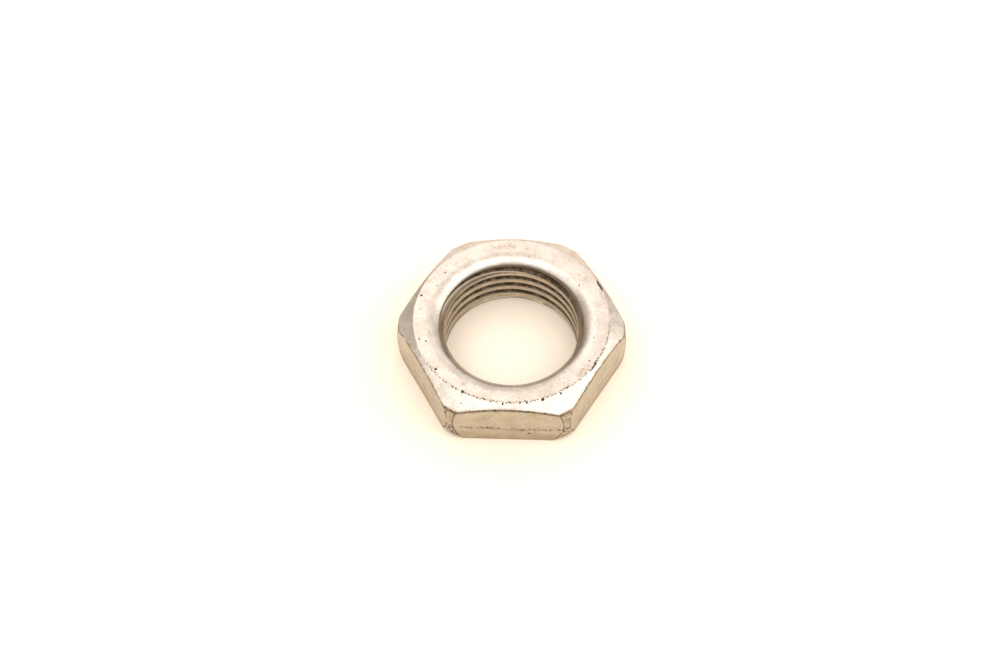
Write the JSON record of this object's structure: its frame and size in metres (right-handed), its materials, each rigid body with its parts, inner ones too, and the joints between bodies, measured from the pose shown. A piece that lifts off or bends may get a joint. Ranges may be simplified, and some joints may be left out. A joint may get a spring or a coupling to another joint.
{
  "type": "thin hex nut",
  "caption": "Thin hexagon nut of plated steel, chamfered round its upper face, with a rounded mouth and a fine right-hand thread through its middle.",
  "frame": {"origin": "centre of the bottom bearing face, on the thread's axis", "axes": "+Z along the thread's axis, out of the top bearing face; +X towards a corner; -Y towards a flat"},
  "size_m": [0.0306, 0.027, 0.008],
  "materials": {
    "plated_steel": "satin zinc plating over forged steel, finely mottled, with small dark pits, brown grime at the edges and in the thread roots"
  },
  "bodies": {
    "root": {"hex_nut": "plated_steel"}
  },
  "joints": []
}
